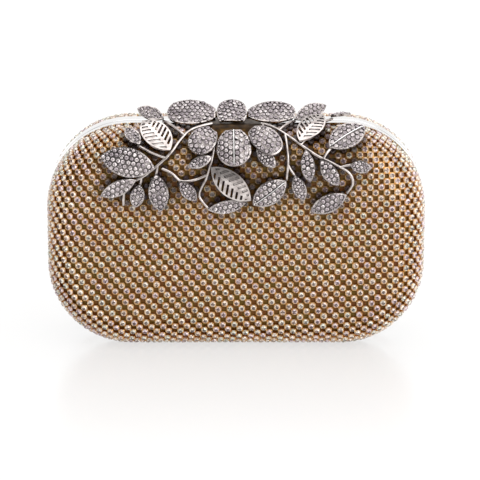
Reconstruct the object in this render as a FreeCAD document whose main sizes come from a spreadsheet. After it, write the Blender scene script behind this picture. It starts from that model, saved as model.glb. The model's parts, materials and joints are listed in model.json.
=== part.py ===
"""Hard-case evening minaudiere: two hinged half shells under a crystal mesh, closed by a flower clasp.

Millimetres. +X runs along the case, -Y is the front and +Z is up. The origin is on the floor under the
middle of the whole object. The two halves meet at the seam plane, which lies seam_setback behind it.
"""
import FreeCAD
import Part
import Sketcher
import math
import os
from FreeCAD import Placement, Rotation, Vector

doc = FreeCAD.newDocument("Minaudiere")

# Driving dimensions, by the piece that they belong to
SIZES = [
    # case outline and the layers of each half, from the outside in
    ("body_width", 180.0),
    ("body_height", 107.0),
    ("corner_round", 40.0),
    ("half_depth", 28.0),
    ("edge_round", 16.0),
    ("mesh_sink", 0.05),
    ("mesh_thick", 2.2),
    ("stud_pitch", 10.9),
    ("stud_height", 1.0),
    ("stud_root", 0.4),
    ("stud_foot_radius", 2.5),
    ("stud_top_radius", 1.6),
    ("stud_edge_gap", 0.6),
    ("satin_thick", 0.4),
    ("shell_thick", 1.6),
    ("lining_thick", 1.0),
    ("bond_gap", 0.1),
    ("seam_setback", 3.6),
    # polished frame, a channel that takes the edges of shell and satin
    ("frame_depth", 6.5),
    ("frame_thick", 6.4),
    ("frame_wall", 1.2),
    ("frame_round", 2.2),
    ("seam_gap", 0.3),
    # slip pocket on the rear lining
    ("pocket_width", 110.0),
    ("pocket_height", 58.0),
    ("pocket_foot", 18.0),
    ("pocket_thick", 0.8),
    ("pocket_corner", 8.0),
    # the two hinges under the seam
    ("hinge_end_gap", 1.0),
    ("hinge_length", 14.0),
    ("hinge_axis_height", 1.35),
    ("hinge_plate_thick", 1.0),
    ("hinge_plate_reach", 5.6),
    ("knuckle_radius", 1.2),
    ("knuckle_gap", 0.3),
    ("knuckle_clearance", 0.35),
    ("hinge_pin_radius", 0.6),
    ("pin_clearance", 0.05),
    ("rivet_radius", 0.7),
    ("rivet_spacing", 9.0),
    ("rivet_sink", 0.1),
    ("hole_clearance", 0.05),
    # screws of the clasp bracket and of the ornament plate
    ("screw_radius", 0.7),
    ("screw_head_radius", 1.3),
    ("screw_head_height", 0.6),
    ("screw_length", 2.6),
    ("screw_spacing", 22.0),
    ("screw_setback", 4.4),
    # clasp bracket, its pin and the rocking lever
    ("bracket_thick", 0.8),
    ("bracket_depth", 3.9),
    ("bracket_setback", 2.5),
    ("bracket_foot", 5.4),
    ("bracket_strip", 0.7),
    ("ear_spacing", 15.2),
    ("ear_thick", 1.0),
    ("ear_radius", 1.4),
    ("seat_gap", 0.05),
    ("clasp_pin_radius", 0.7),
    ("clasp_axis_height", 1.6),
    ("lever_barrel_radius", 1.2),
    ("lever_side_gap", 0.3),
    ("nose_width", 8.0),
    ("nose_reach", 3.2),
    ("nose_thick", 0.8),
    ("nose_clearance", 0.1),
    ("carrier_lean", 30.0),
    ("carrier_stand", 7.4),
    ("carrier_thick", 0.8),
    ("carrier_width", 26.0),
    ("carrier_down", 9.5),
    ("carrier_up", 0.9),
    ("carrier_bar", 3.5),
    ("carrier_tongue", 5.0),
    ("lever_rib", 1.8),
    ("spring_width", 4.0),
    ("spring_thick", 0.3),
    ("spring_upright", 2.3),
    ("spring_reach", 4.1),
    ("spring_lean", 45.0),
    # ornament plate and the spray that it carries
    ("plate_lift", 0.35),
    ("plate_thick", 0.6),
    ("plate_width", 30.0),
    ("plate_setback", 2.5),
    ("plate_angle", 62.0),
    ("stem_radius", 0.65),
    ("stem_gap", 0.15),
    ("leaf_gap", 0.12),
    ("leaf_thick", 1.0),
    ("leaf_length", 20.0),
    ("leaf_step", 2.4),
    ("leaf_rim", 0.7),
    ("tray_depth", 0.35),
    ("slot_width", 1.1),
    ("slot_pitch", 2.2),
    ("midrib_width", 0.9),
    ("outline_prism", 24.0),
    ("spray_reach", 66.0),
    ("spray_drop", 58.0),
    ("cut_overrun", 1.0),
]

sizes = doc.addObject("Spreadsheet::Sheet", "Sizes")
for row, (alias, number) in enumerate(SIZES, 1):
    sizes.set("A%d" % row, alias)
    sizes.set("B%d" % row, str(number))
    sizes.setAlias("B%d" % row, alias)
doc.recompute()

# Places that several pieces share, worked out from the driving dimensions
DERIVED = [
    ("backing_inset", "Sizes.mesh_sink + Sizes.stud_height"),
    ("satin_inset", "Sizes.mesh_sink + Sizes.mesh_thick + Sizes.bond_gap"),
    ("shell_inset", "satin_inset + Sizes.satin_thick + Sizes.bond_gap"),
    ("lining_inset", "Sizes.frame_thick - Sizes.lining_thick"),
    ("frame_outer", "0"),
    ("frame_inner", "Sizes.frame_thick"),
    ("channel_outer", "Sizes.frame_wall"),
    ("channel_inner", "Sizes.frame_thick - Sizes.frame_wall"),
    ("seam_face", "Sizes.seam_gap / 2"),
    ("shell_start", "seam_face + Sizes.frame_wall + Sizes.bond_gap"),
    ("mesh_start", "Sizes.frame_depth + Sizes.bond_gap"),
    ("lining_floor", "Sizes.half_depth + Sizes.mesh_sink - Sizes.frame_thick"),
    ("notch_depth", "Sizes.knuckle_radius + Sizes.knuckle_clearance"),
    ("hinge_plate_foot", "Sizes.frame_wall + Sizes.bond_gap"),
    ("rivet_setback", "(notch_depth + Sizes.hinge_plate_reach) / 2"),
    ("straight_half", "Sizes.body_width / 2 - Sizes.corner_round"),
    ("hinge_offset", "straight_half - Sizes.hinge_end_gap - Sizes.hinge_length / 2"),
    ("bracket_seat", "Sizes.body_height + Sizes.seat_gap"),
    ("bracket_top", "bracket_seat + Sizes.bracket_thick"),
    ("clasp_axis_up", "Sizes.body_height + Sizes.clasp_axis_height"),
    ("plate_seat", "Sizes.body_height - Sizes.mesh_sink + Sizes.plate_lift"),
    ("plate_top", "plate_seat + Sizes.plate_thick"),
    ("nose_foot", "plate_top + Sizes.nose_clearance"),
    ("round_back", "Sizes.half_depth - Sizes.edge_round"),
    ("round_up", "Sizes.body_height - Sizes.mesh_sink - Sizes.edge_round"),
    ("stem_lift", "Sizes.plate_lift + Sizes.plate_thick + Sizes.stem_gap + Sizes.stem_radius"),
    ("leaf_lift", "stem_lift + Sizes.stem_radius + Sizes.leaf_gap"),
]
derived = doc.addObject("Spreadsheet::Sheet", "Derived")
for row, (alias, formula) in enumerate(DERIVED, 1):
    derived.set("A%d" % row, alias)
    derived.set("B%d" % row, "=" + formula)
    derived.setAlias("B%d" % row, alias)
    doc.recompute()

pieces = []
SAME_PLACE = 1e-4
UP = Vector(0, 0, 1)
ALONG = Vector(1, 0, 0)
# Lays a cylinder along X, with the start of its sweep upwards and its sweep towards the front
LYING = Rotation(Vector(0, 0, 1), Vector(0, -1, 0), Vector(1, 0, 0), "ZXY")


def size(alias):
    """A driving dimension as a number."""
    return sizes.get(alias)


def place(alias):
    """A derived place as a number."""
    return derived.get(alias)


def bind(feature, **formulas):
    """Tie properties of a feature to the sheets; Px, Py and Pz stand for its position."""
    position = {"Px": "Placement.Base.x", "Py": "Placement.Base.y", "Pz": "Placement.Base.z"}
    for name, formula in formulas.items():
        feature.setExpression(position.get(name, name), formula)
    return feature


def box(x_span, y_span, z_span, name):
    """A block between pairs of formulas."""
    block = doc.addObject("Part::Box", name)
    bind(block, Px=x_span[0], Py=y_span[0], Pz=z_span[0])
    lengths = ["(%s) - (%s)" % (span[1], span[0]) for span in (x_span, y_span, z_span)]
    return bind(block, Length=lengths[0], Width=lengths[1], Height=lengths[2])


def rod(name, radius, height, x="0", y="0", z="0", turn=Rotation()):
    """A cylinder that starts at a place given by formulas, along Z unless it is turned."""
    cylinder = doc.addObject("Part::Cylinder", name)
    cylinder.Placement = Placement(Vector(), turn)
    return bind(cylinder, Radius=radius, Height=height, Px=x, Py=y, Pz=z)


def ball(radius, x, z):
    """A sphere on a leaf's own middle plane, turned so that its poles lie to the sides."""
    sphere = doc.addObject("Part::Sphere", "Dome")
    sphere.Placement = Placement(Vector(), Rotation(ALONG, 90))
    return bind(sphere, Radius=radius, Px=x, Pz=z)


def fuse(shapes, name="Union"):
    """One solid, or one group of solids, from several."""
    union = doc.addObject("Part::MultiFuse", name)
    union.Shapes = shapes
    union.Refine = True
    return union


def common(shapes, name="Overlap"):
    """What several solids share."""
    overlap = doc.addObject("Part::MultiCommon", name)
    overlap.Shapes = shapes
    return overlap


def cut(base, tool, name="Difference"):
    """A solid less another."""
    difference = doc.addObject("Part::Cut", name)
    difference.Base = base
    difference.Tool = tool
    return difference


def finish(feature, label, rear=False):
    """Name a piece and set it at the seam plane, turned to the back for the rear half."""
    feature.Label = label
    feature.Placement = Placement(Vector(), Rotation(UP, 180 if rear else 0))
    bind(feature, Py="Sizes.seam_setback")
    pieces.append(feature)


def finish_pin(feature, label, y="0"):
    """Name a plain pin and set it at a distance from the seam plane."""
    feature.Label = label
    bind(feature, Py=y + " + Sizes.seam_setback")
    pieces.append(feature)


# Half shells: layers and frames


def edges_at(shape, depth):
    """Names of the edges that lie on the plane y = depth."""
    return ["Edge%d" % number for number, edge in enumerate(shape.Edges, 1)
            if all(abs(vertex.Y - depth) < SAME_PLACE for vertex in edge.Vertexes)]


def face_at(shape, depth):
    """Name of the face that lies on the plane y = depth."""
    for number, face in enumerate(shape.Faces, 1):
        limits = face.BoundBox
        if abs(limits.YMin - depth) < SAME_PLACE and abs(limits.YMax - depth) < SAME_PLACE:
            return "Face%d" % number
    raise ValueError("no face at %s" % depth)


def seam_sketch(body, name, depth):
    """A sketch parallel to the seam plane, a depth in front of it."""
    plane = [feature for feature in body.Origin.OriginFeatures if feature.Role == "XZ_Plane"][0]
    sketch = body.newObject("Sketcher::SketchObject", name)
    sketch.AttachmentSupport = [(plane, "")]
    sketch.MapMode = "FlatFace"
    sketch.setExpression("AttachmentOffset.Base.z", depth)
    return sketch


def outline(sketch, inset):
    """The case's rounded outline, drawn in by an inset from the derived sheet."""
    step = place(inset)
    right = size("body_width") / 2 - step
    top = size("body_height") - step
    radius = size("corner_round") - step
    inner = right - radius
    low = step + radius
    high = top - radius
    quarter = math.pi / 2
    first = sketch.GeometryCount
    corners = [Part.Circle(Vector(x, y, 0), UP, radius)
               for x, y in ((inner, low), (inner, high), (-inner, high), (-inner, low))]
    sketch.addGeometry([
        Part.LineSegment(Vector(-inner, step, 0), Vector(inner, step, 0)),
        Part.ArcOfCircle(corners[0], -quarter, 0),
        Part.LineSegment(Vector(right, low, 0), Vector(right, high, 0)),
        Part.ArcOfCircle(corners[1], 0, quarter),
        Part.LineSegment(Vector(inner, top, 0), Vector(-inner, top, 0)),
        Part.ArcOfCircle(corners[2], quarter, 2 * quarter),
        Part.LineSegment(Vector(-right, high, 0), Vector(-right, low, 0)),
        Part.ArcOfCircle(corners[3], 2 * quarter, 3 * quarter)], False)
    floor, arc, right_line, top_line, left_line = [first + step_on for step_on in (0, 1, 2, 4, 6)]
    for number in range(8):
        sketch.addConstraint(Sketcher.Constraint("Tangent", first + number, 2, first + (number + 1) % 8, 1))
    for line in (floor, top_line):
        sketch.addConstraint(Sketcher.Constraint("Horizontal", line))
    for line in (right_line, left_line):
        sketch.addConstraint(Sketcher.Constraint("Vertical", line))
    for other in (arc + 2, arc + 4, arc + 6):
        sketch.addConstraint(Sketcher.Constraint("Equal", arc, other))
    cell = "Derived." + inset
    measures = [
        (Sketcher.Constraint("Radius", arc, radius), "Sizes.corner_round - " + cell),
        (Sketcher.Constraint("DistanceY", -1, 1, top_line, 1, top), "Sizes.body_height - " + cell),
        (Sketcher.Constraint("DistanceY", floor, 1, top_line, 1, top - step),
         "Sizes.body_height - 2 * " + cell),
        (Sketcher.Constraint("DistanceX", -1, 1, right_line, 1, right), "Sizes.body_width / 2 - " + cell),
        (Sketcher.Constraint("DistanceX", left_line, 1, right_line, 1, 2 * right),
         "Sizes.body_width - 2 * " + cell)]
    for constraint, formula in measures:
        number = sketch.addConstraint(constraint)
        sketch.setExpression("Constraints[%d]" % number, formula)


def tray(label, inset, wall, start):
    """A tray with the case's outline, rounded at the front, open at the seam."""
    sunk = "(Derived.%s - Sizes.mesh_sink)" % inset
    body = doc.addObject("PartDesign::Body", label)
    sketch = seam_sketch(body, "Outline", start)
    outline(sketch, inset)
    pad = body.newObject("PartDesign::Pad", "Block")
    pad.Profile = sketch
    bind(pad, Length="Sizes.half_depth - %s - %s" % (sunk, start))
    doc.recompute()
    rounded = body.newObject("PartDesign::Fillet", "RoundedEdge")
    rounded.Base = (pad, edges_at(pad.Shape, pad.Shape.BoundBox.YMin))
    bind(rounded, Radius="Sizes.edge_round - " + sunk)
    doc.recompute()
    hollow = body.newObject("PartDesign::Thickness", "Hollow")
    hollow.Base = (rounded, [face_at(rounded.Shape, rounded.Shape.BoundBox.YMax)])
    hollow.Reversed = True
    bind(hollow, Value=wall)
    doc.recompute()
    return body


def half_layer(label, rear, inset, wall, start):
    """One plain layer of a half."""
    finish(tray(label, inset, wall, start), label, rear)


def on_front(across, up):
    """Where a point of the flat net lands on the front half, and the way out there."""
    side = size("body_width") / 2 - size("corner_round")
    rise = size("body_height") / 2 - size("corner_round")
    inner = Vector(max(-side, min(side, across)), 0, max(-rise, min(rise, up)))
    away = Vector(across, 0, up) - inner
    flat_reach = size("corner_round") - size("edge_round") - size("mesh_sink")
    past = max(away.Length - flat_reach, 0)
    bend = min(past / size("edge_round"), math.pi / 2)
    along_side = max(past - size("edge_round") * math.pi / 2, 0)
    heading = Vector(away).normalize() if past else Vector()
    out = heading * math.sin(bend) - Vector(0, math.cos(bend), 0)
    reach = heading * flat_reach if past else away
    centre = Vector(0, along_side - place("round_back"), size("body_height") / 2)
    return inner + reach + centre + out * size("edge_round"), out


def net_studs():
    """The net's stones, one for each four of the real ones, raised on the front half."""
    studs = []
    step = size("stud_pitch") / 2
    last_row = math.ceil(size("body_height") / step)
    last_column = math.ceil(size("body_width") / size("stud_pitch"))
    # A flat top stands proud of the rounded edge, so each stud is let in by the height of that bulge
    bulge = size("stud_top_radius") ** 2 / (2 * size("edge_round"))
    height = size("stud_height") - bulge + size("stud_root")
    edge = place("mesh_start") + size("stud_foot_radius") + size("stud_edge_gap")
    for row in range(-last_row, last_row + 1):
        for column in range(-last_column, last_column + 1):
            spot, out = on_front((column + row % 2 / 2) * size("stud_pitch"), row * step)
            if -spot.y < edge:
                continue
            studs.append(Part.makeCone(size("stud_foot_radius"), size("stud_top_radius"), height,
                                       spot - out * (height + bulge), out))
    return Part.makeCompound(studs)


def crystal_meshes():
    """The net of stones over each half: a backing with the stones raised on it."""
    wall = "Sizes.mesh_thick - Sizes.stud_height"
    backing = tray("MeshBacking", "backing_inset", wall, "Derived.mesh_start")
    stones = doc.addObject("Part::Feature", "Stones")
    stones.Shape = net_studs()
    net = fuse([backing, stones])
    doc.recompute()
    turned = doc.addObject("Part::Feature", "TurnedNet")
    turned.Shape = net.Shape
    finish(net, "front_crystal_mesh")
    finish(turned, "rear_crystal_mesh", True)


def on_outer_outline(edge):
    """Whether an edge of a rim belongs to its outer outline and not to its inner one."""
    middle = edge.valueAt((edge.FirstParameter + edge.LastParameter) / 2)
    half_height = size("body_height") / 2
    past_x = max(abs(middle.x) - size("body_width") / 2 + size("corner_round"), 0)
    past_z = max(abs(middle.z - half_height) - half_height + size("corner_round"), 0)
    return math.hypot(past_x, past_z) > size("corner_round") - size("frame_thick") / 2


# The hinges stand at the ends of the straight run between the rounded corners
HINGE_CENTRES = [("left", "-Derived.hinge_offset"), ("right", "Derived.hinge_offset")]
SCREW_PLACES = ["-Sizes.screw_spacing / 2", "Sizes.screw_spacing / 2"]


def rivet_hole(x, height, z):
    """The hole for one hinge rivet."""
    radius = "Sizes.rivet_radius + Sizes.hole_clearance"
    return rod("RivetHole", radius, height, x, "-Derived.rivet_setback", z)


def frame(label, rear):
    """One polished rim: a channel round the outline, notched for the hinges, drilled for its fixings."""
    body = doc.addObject("PartDesign::Body", label + "_channel")
    ring = seam_sketch(body, "Ring", "Derived.seam_face")
    outline(ring, "frame_outer")
    outline(ring, "frame_inner")
    pad = body.newObject("PartDesign::Pad", "Rim")
    pad.Profile = ring
    bind(pad, Length="Sizes.frame_depth - Derived.seam_face")
    doc.recompute()
    shape = pad.Shape
    seam_edges = edges_at(shape, shape.BoundBox.YMax)
    rounded = body.newObject("PartDesign::Fillet", "SeamEdge")
    rounded.Base = (pad, [name for name in seam_edges if on_outer_outline(shape.getElement(name))])
    bind(rounded, Radius="Sizes.frame_round")
    groove = seam_sketch(body, "Groove", "Sizes.frame_depth")
    outline(groove, "channel_outer")
    outline(groove, "channel_inner")
    channel = body.newObject("PartDesign::Pocket", "Channel")
    channel.Profile = groove
    bind(channel, Length="Sizes.frame_depth - Derived.seam_face - Sizes.frame_wall")
    doc.recompute()
    half_notch = "(Sizes.hinge_length / 2 + Sizes.knuckle_clearance)"
    through = "Sizes.frame_wall + 2 * Sizes.cut_overrun"
    holes = []
    for _, centre in HINGE_CENTRES:
        holes.append(box(("%s - %s" % (centre, half_notch), "%s + %s" % (centre, half_notch)),
                         ("-Derived.notch_depth", "Sizes.cut_overrun"),
                         ("-Sizes.cut_overrun", "Sizes.hinge_axis_height + Derived.notch_depth"),
                         "HingeNotch"))
        for way in "-+":
            x = "%s %s Sizes.rivet_spacing / 2" % (centre, way)
            holes.append(rivet_hole(x, through, "-Sizes.cut_overrun"))
    for x in SCREW_PLACES:
        holes.append(rod("ScrewHole", "Sizes.screw_radius + Sizes.hole_clearance", through, x,
                         "-Sizes.screw_setback", "Sizes.body_height - Sizes.frame_wall - Sizes.cut_overrun"))
    finish(cut(body, fuse(holes)), label, rear)


def slip_pocket():
    """A flat satin pocket sewn to the floor of the rear lining."""
    half = "Sizes.pocket_width / 2"
    top = "Sizes.pocket_foot + Sizes.pocket_height"
    back = "Derived.lining_floor - Sizes.bond_gap"
    depth = (back + " - Sizes.pocket_thick", back)
    corner = "Sizes.pocket_corner"
    across = box(("-" + half, half), depth, ("Sizes.pocket_foot + " + corner, top), "PocketPanel")
    foot = box(("-%s + %s" % (half, corner), "%s - %s" % (half, corner)), depth,
               ("Sizes.pocket_foot", "Sizes.pocket_foot + 2 * " + corner), "PocketFoot")
    rounds = [rod("PocketCorner", corner, "Sizes.pocket_thick", x, depth[0], "Sizes.pocket_foot + " + corner,
                  Rotation(ALONG, -90)) for x in ("-%s + %s" % (half, corner), "%s - %s" % (half, corner))]
    finish(fuse([across, foot] + rounds), "slip_pocket")


# Hinges


def hinge_leaf(label, rear, centre):
    """A hinge leaf: a plate inside the frame's channel, with its knuckles on the axis at the seam."""
    ends = (centre + " - Sizes.hinge_length / 2", centre + " + Sizes.hinge_length / 2")
    middle = (centre + " - Sizes.hinge_length / 6", centre + " + Sizes.hinge_length / 6")
    half_gap = "Sizes.knuckle_gap / 2"
    if rear:
        knuckles = [(ends[0], "%s - %s" % (middle[0], half_gap)),
                    ("%s + %s" % (middle[1], half_gap), ends[1])]
    else:
        knuckles = [("%s + %s" % (middle[0], half_gap), "%s - %s" % (middle[1], half_gap))]
    height = ("Derived.hinge_plate_foot", "Derived.hinge_plate_foot + Sizes.hinge_plate_thick")
    solids = [box(ends, ("-Sizes.hinge_plate_reach", "-Derived.notch_depth"), height, "LeafPlate")]
    for start, end in knuckles:
        solids.append(box((start, end), ("-Derived.notch_depth", "0"), height, "Tongue"))
        solids.append(rod("Knuckle", "Sizes.knuckle_radius", "(%s) - (%s)" % (end, start), start, "0",
                          "Sizes.hinge_axis_height", LYING))
    holes = [rod("PinBore", "Sizes.hinge_pin_radius + Sizes.pin_clearance",
                 "Sizes.hinge_length + 2 * Sizes.cut_overrun", ends[0] + " - Sizes.cut_overrun", "0",
                 "Sizes.hinge_axis_height", LYING)]
    for way in "-+":
        holes.append(rivet_hole("%s %s Sizes.rivet_spacing / 2" % (centre, way),
                                 "Sizes.hinge_plate_thick + 2 * Sizes.cut_overrun",
                                 "Derived.hinge_plate_foot - Sizes.cut_overrun"))
    finish(cut(fuse(solids), fuse(holes)), label, rear)


def hinges():
    """Leaves, pins and rivets of both hinges."""
    turned_side = {"left": "right", "right": "left"}
    for side, centre in HINGE_CENTRES:
        hinge_leaf("front_hinge_leaf_" + side, False, centre)
        hinge_leaf("rear_hinge_leaf_" + turned_side[side], True, centre)
        finish_pin(rod("HingePin", "Sizes.hinge_pin_radius", "Sizes.hinge_length",
                       centre + " - Sizes.hinge_length / 2", "0", "Sizes.hinge_axis_height", LYING),
                   "hinge_pin_" + side)
    for half, rear in (("front", False), ("rear", True)):
        height = "Derived.hinge_plate_foot + Sizes.hinge_plate_thick - Sizes.rivet_sink"
        places = ["%s %s Sizes.rivet_spacing / 2" % (centre, way)
                  for _, centre in HINGE_CENTRES for way in "-+"]
        rivets = [rod("Rivet", "Sizes.rivet_radius", height, x, "-Derived.rivet_setback", "Sizes.rivet_sink")
                  for x in places]
        finish(fuse(rivets), half + "_hinge_rivets", rear)


# Clasp: bracket, pin, spring and lever


def screws(label, y, seat):
    """A pair of flat-headed screws that hold a fitting to the top of a frame."""
    solids = []
    for x in SCREW_PLACES:
        solids.append(rod("ScrewHead", "Sizes.screw_head_radius", "Sizes.screw_head_height", x, y, seat))
        solids.append(rod("ScrewShank", "Sizes.screw_radius", "Sizes.screw_length", x, y,
                          seat + " - Sizes.screw_length"))
    finish(fuse(solids), label)


def screw_holes(y, foot, height):
    """Clearance holes for such a pair of screws."""
    radius = "Sizes.screw_radius + Sizes.hole_clearance"
    return [rod("ScrewHole", radius, height + " + 2 * Sizes.cut_overrun", x, y, foot + " - Sizes.cut_overrun")
            for x in SCREW_PLACES]


def clasp_bracket():
    """The bracket on the rear frame: two feet with an ear each, joined by a strip along the back."""
    back = "Sizes.bracket_setback + Sizes.bracket_depth"
    depth = ("Sizes.bracket_setback", back)
    base = ("Derived.bracket_seat", "Derived.bracket_top")
    ear_in = "Sizes.ear_spacing / 2"
    foot_out = ear_in + " + Sizes.bracket_foot"
    solids = [box(("-(%s)" % foot_out, foot_out), (back + " - Sizes.bracket_strip", back), base, "BackStrip")]
    neck = ("Sizes.screw_setback - Sizes.ear_radius", "Sizes.screw_setback + Sizes.ear_radius")
    sides = ((ear_in, foot_out, ear_in), ("-(%s)" % foot_out, "-" + ear_in, "-%s - Sizes.ear_thick" % ear_in))
    for inner, outer, ear in sides:
        solids.append(box((inner, outer), depth, base, "BracketFoot"))
        solids.append(box((ear, ear + " + Sizes.ear_thick"), neck, (base[0], "Derived.clasp_axis_up"),
                          "EarNeck"))
        solids.append(rod("EarHead", "Sizes.ear_radius", "Sizes.ear_thick", ear, "Sizes.screw_setback",
                          "Derived.clasp_axis_up", LYING))
    holes = screw_holes("Sizes.screw_setback", base[0], "Sizes.bracket_thick")
    holes.append(rod("PinHole", "Sizes.clasp_pin_radius + Sizes.pin_clearance", "2 * (%s)" % foot_out,
                     "-(%s)" % foot_out, "Sizes.screw_setback", "Derived.clasp_axis_up", LYING))
    finish(cut(fuse(solids), fuse(holes)), "clasp_bracket")
    screws("clasp_bracket_screws", "Sizes.screw_setback", "Derived.bracket_top")
    half_pin = "(Sizes.ear_spacing / 2 + Sizes.ear_thick)"
    finish_pin(rod("ClaspPin", "Sizes.clasp_pin_radius", "2 * " + half_pin, "-" + half_pin, "0",
                   "Derived.clasp_axis_up", LYING), "clasp_pin", "Sizes.screw_setback")


def leaning_box(x_half, along, stand, name):
    """A block of the lever that leans back with the petals, placed from the lever's axis."""
    block = doc.addObject("Part::Box", name)
    block.Placement = Placement(Vector(), Rotation(ALONG, size("carrier_lean")))
    bind(block, Length="2 * (%s)" % x_half, Width="(%s) - (%s)" % (along[1], along[0]),
         Height="(%s) - (%s)" % (stand[1], stand[0]))
    cosine = "cos(Sizes.carrier_lean * 1 deg)"
    sine = "sin(Sizes.carrier_lean * 1 deg)"
    return bind(block, Px="-(%s)" % x_half,
                Py="Sizes.screw_setback + (%s) * %s - (%s) * %s" % (along[0], cosine, stand[0], sine),
                Pz="Derived.clasp_axis_up + (%s) * %s + (%s) * %s" % (along[0], sine, stand[0], cosine))


def clasp_lever():
    """The rocking lever: a barrel on the pin, a nose over the ornament plate, a carrier for the petals."""
    half_barrel = "(Sizes.ear_spacing / 2 - Sizes.lever_side_gap)"
    barrel = rod("Barrel", "Sizes.lever_barrel_radius", "2 * " + half_barrel, "-" + half_barrel,
                 "Sizes.screw_setback", "Derived.clasp_axis_up", LYING)
    nose = box(("-Sizes.nose_width / 2", "Sizes.nose_width / 2"),
               ("-Sizes.nose_reach", "Sizes.screw_setback"),
               ("Derived.nose_foot", "Derived.nose_foot + Sizes.nose_thick"), "Nose")
    under = "Sizes.carrier_stand - Sizes.carrier_thick"
    rib = leaning_box("Sizes.carrier_tongue / 2", ("-Sizes.lever_rib / 2", "Sizes.lever_rib / 2"),
                      ("0", "Sizes.carrier_stand"), "Rib")
    tongue = leaning_box("Sizes.carrier_tongue / 2", ("-Sizes.carrier_down", "Sizes.carrier_up"),
                         (under, "Sizes.carrier_stand"), "CarrierTongue")
    bar = leaning_box("Sizes.carrier_width / 2", ("-Sizes.carrier_down", "Sizes.carrier_bar - Sizes.carrier_down"),
                      (under, "Sizes.carrier_stand"), "CarrierBar")
    bore = rod("PinBore", "Sizes.clasp_pin_radius + Sizes.pin_clearance", "Sizes.ear_spacing",
               "-Sizes.ear_spacing / 2", "Sizes.screw_setback", "Derived.clasp_axis_up", LYING)
    finish(cut(fuse([barrel, nose, rib, tongue, bar]), bore), "clasp_lever")


def clasp_spring():
    """A bent leaf spring that stands on the bracket's back strip and leans on the lever's rib."""
    half = "Sizes.spring_width / 2"
    back = "Sizes.bracket_setback + Sizes.bracket_depth"
    seat = "Derived.bracket_top + Sizes.seat_gap"
    foot = box(("-" + half, half), (back + " - Sizes.bracket_strip", back),
               (seat, seat + " + Sizes.spring_thick"), "SpringFoot")
    bend = seat + " + Sizes.spring_upright"
    upright = box(("-" + half, half), (back + " - Sizes.spring_thick", back), (seat, bend), "SpringUpright")
    blade = doc.addObject("Part::Box", "SpringBlade")
    blade.Placement = Placement(Vector(), Rotation(ALONG, size("spring_lean")))
    bind(blade, Length="Sizes.spring_width", Width="Sizes.spring_thick", Height="Sizes.spring_reach",
         Px="-" + half, Py=back + " - Sizes.spring_thick", Pz=bend + " - Sizes.spring_thick")
    finish(fuse([foot, upright, blade]), "clasp_spring")


# Ornament: plate, stems, leaves and petals


def ornament_plate():
    """The strap on the front frame: flat over the top of the mesh, then bent down its rounded edge."""
    half = "Sizes.plate_width / 2"
    top = box(("-" + half, half), ("-Derived.round_back", "-Sizes.plate_setback"),
              ("Derived.plate_seat", "Derived.plate_top"), "PlateTop")
    inner = "Sizes.edge_round + Sizes.plate_lift"
    bend = rod("PlateBend", inner + " + Sizes.plate_thick", "Sizes.plate_width", "-" + half,
               "-Derived.round_back", "Derived.round_up", LYING)
    bend.setExpression("Angle", "Sizes.plate_angle")
    core = rod("PlateBendCore", inner, "Sizes.plate_width + 2 * Sizes.cut_overrun",
               "-%s - Sizes.cut_overrun" % half, "-Derived.round_back", "Derived.round_up", LYING)
    holes = screw_holes("-Sizes.screw_setback", "Derived.plate_seat", "Sizes.plate_thick")
    finish(cut(fuse([top, cut(bend, core)]), fuse(holes)), "ornament_plate")
    screws("ornament_plate_screws", "-Sizes.screw_setback", "Derived.plate_top")


def over_mesh(x, drop, lift):
    """The place above the front mesh, a distance along its section from the seam, and the way out there."""
    flat = place("round_back")
    bend = size("edge_round") * math.pi / 2
    setback = size("seam_setback")
    if drop < flat:
        return Vector(x, setback - drop, place("round_up") + size("edge_round") + lift), UP
    if drop < flat + bend:
        angle = (drop - flat) / size("edge_round")
        out = Vector(0, -math.sin(angle), math.cos(angle))
        return Vector(x, setback - flat, place("round_up")) + out * (size("edge_round") + lift), out
    out = Vector(0, -1, 0)
    return Vector(x, setback - size("half_depth") - lift, place("round_up") - (drop - flat - bend)), out


def smooth_route(shares, steps):
    """Points of a smooth line through the given places, as shares of the spray's reach and drop."""
    ends = [shares[0]] + shares + [shares[-1]]
    route = []
    for index in range(len(shares) - 1):
        before, start, end, after = ends[index:index + 4]
        for step in range(steps):
            t = step / steps
            route.append([((2 * b) + (c - a) * t + (2 * a - 5 * b + 4 * c - d) * t ** 2
                           + (3 * b - a - 3 * c + d) * t ** 3) / 2
                          for a, b, c, d in zip(before, start, end, after)])
    route.append(list(shares[-1]))
    return route


def wire_along(points):
    """One wire of arcs, each of which leaves its point the way the last one arrived."""
    heading = (points[1] - points[0]).normalize()
    start_heading = Vector(heading)
    edges = []
    for start, end in zip(points, points[1:]):
        chord = end - start
        span = chord.Length
        chord.normalize()
        side = heading - chord * heading.dot(chord)
        if side.Length < SAME_PLACE:
            edges.append(Part.LineSegment(start, end).toShape())
            continue
        half_turn = math.atan2(side.Length, heading.dot(chord))
        side.normalize()
        crown = start + chord * (span / 2) + side * (span / 2 * math.tan(half_turn / 2))
        edges.append(Part.Arc(start, crown, end).toShape())
        heading = chord * (2 * heading.dot(chord)) - heading
    return Part.Wire(edges), start_heading


def stem(label, branches):
    """A cast wire stem with its branches, bent to stand clear of the mesh."""
    solids = []
    for shares in branches:
        points = [over_mesh(x * size("spray_reach"), drop * size("spray_drop"), place("stem_lift"))[0]
                  for x, drop in smooth_route(shares, 4)]
        path, heading = wire_along(points)
        ring = Part.Wire(Part.makeCircle(size("stem_radius"), points[0], heading))
        tube = path.makePipeShell([ring], True, False)
        solids.append(tube)
        solids.append(Part.makeSphere(size("stem_radius"), points[-1]))
    feature = doc.addObject("Part::Feature", label)
    feature.Label = label
    feature.Shape = solids[0].fuse(solids[1:]).removeSplitter()
    pieces.append(feature)


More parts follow.
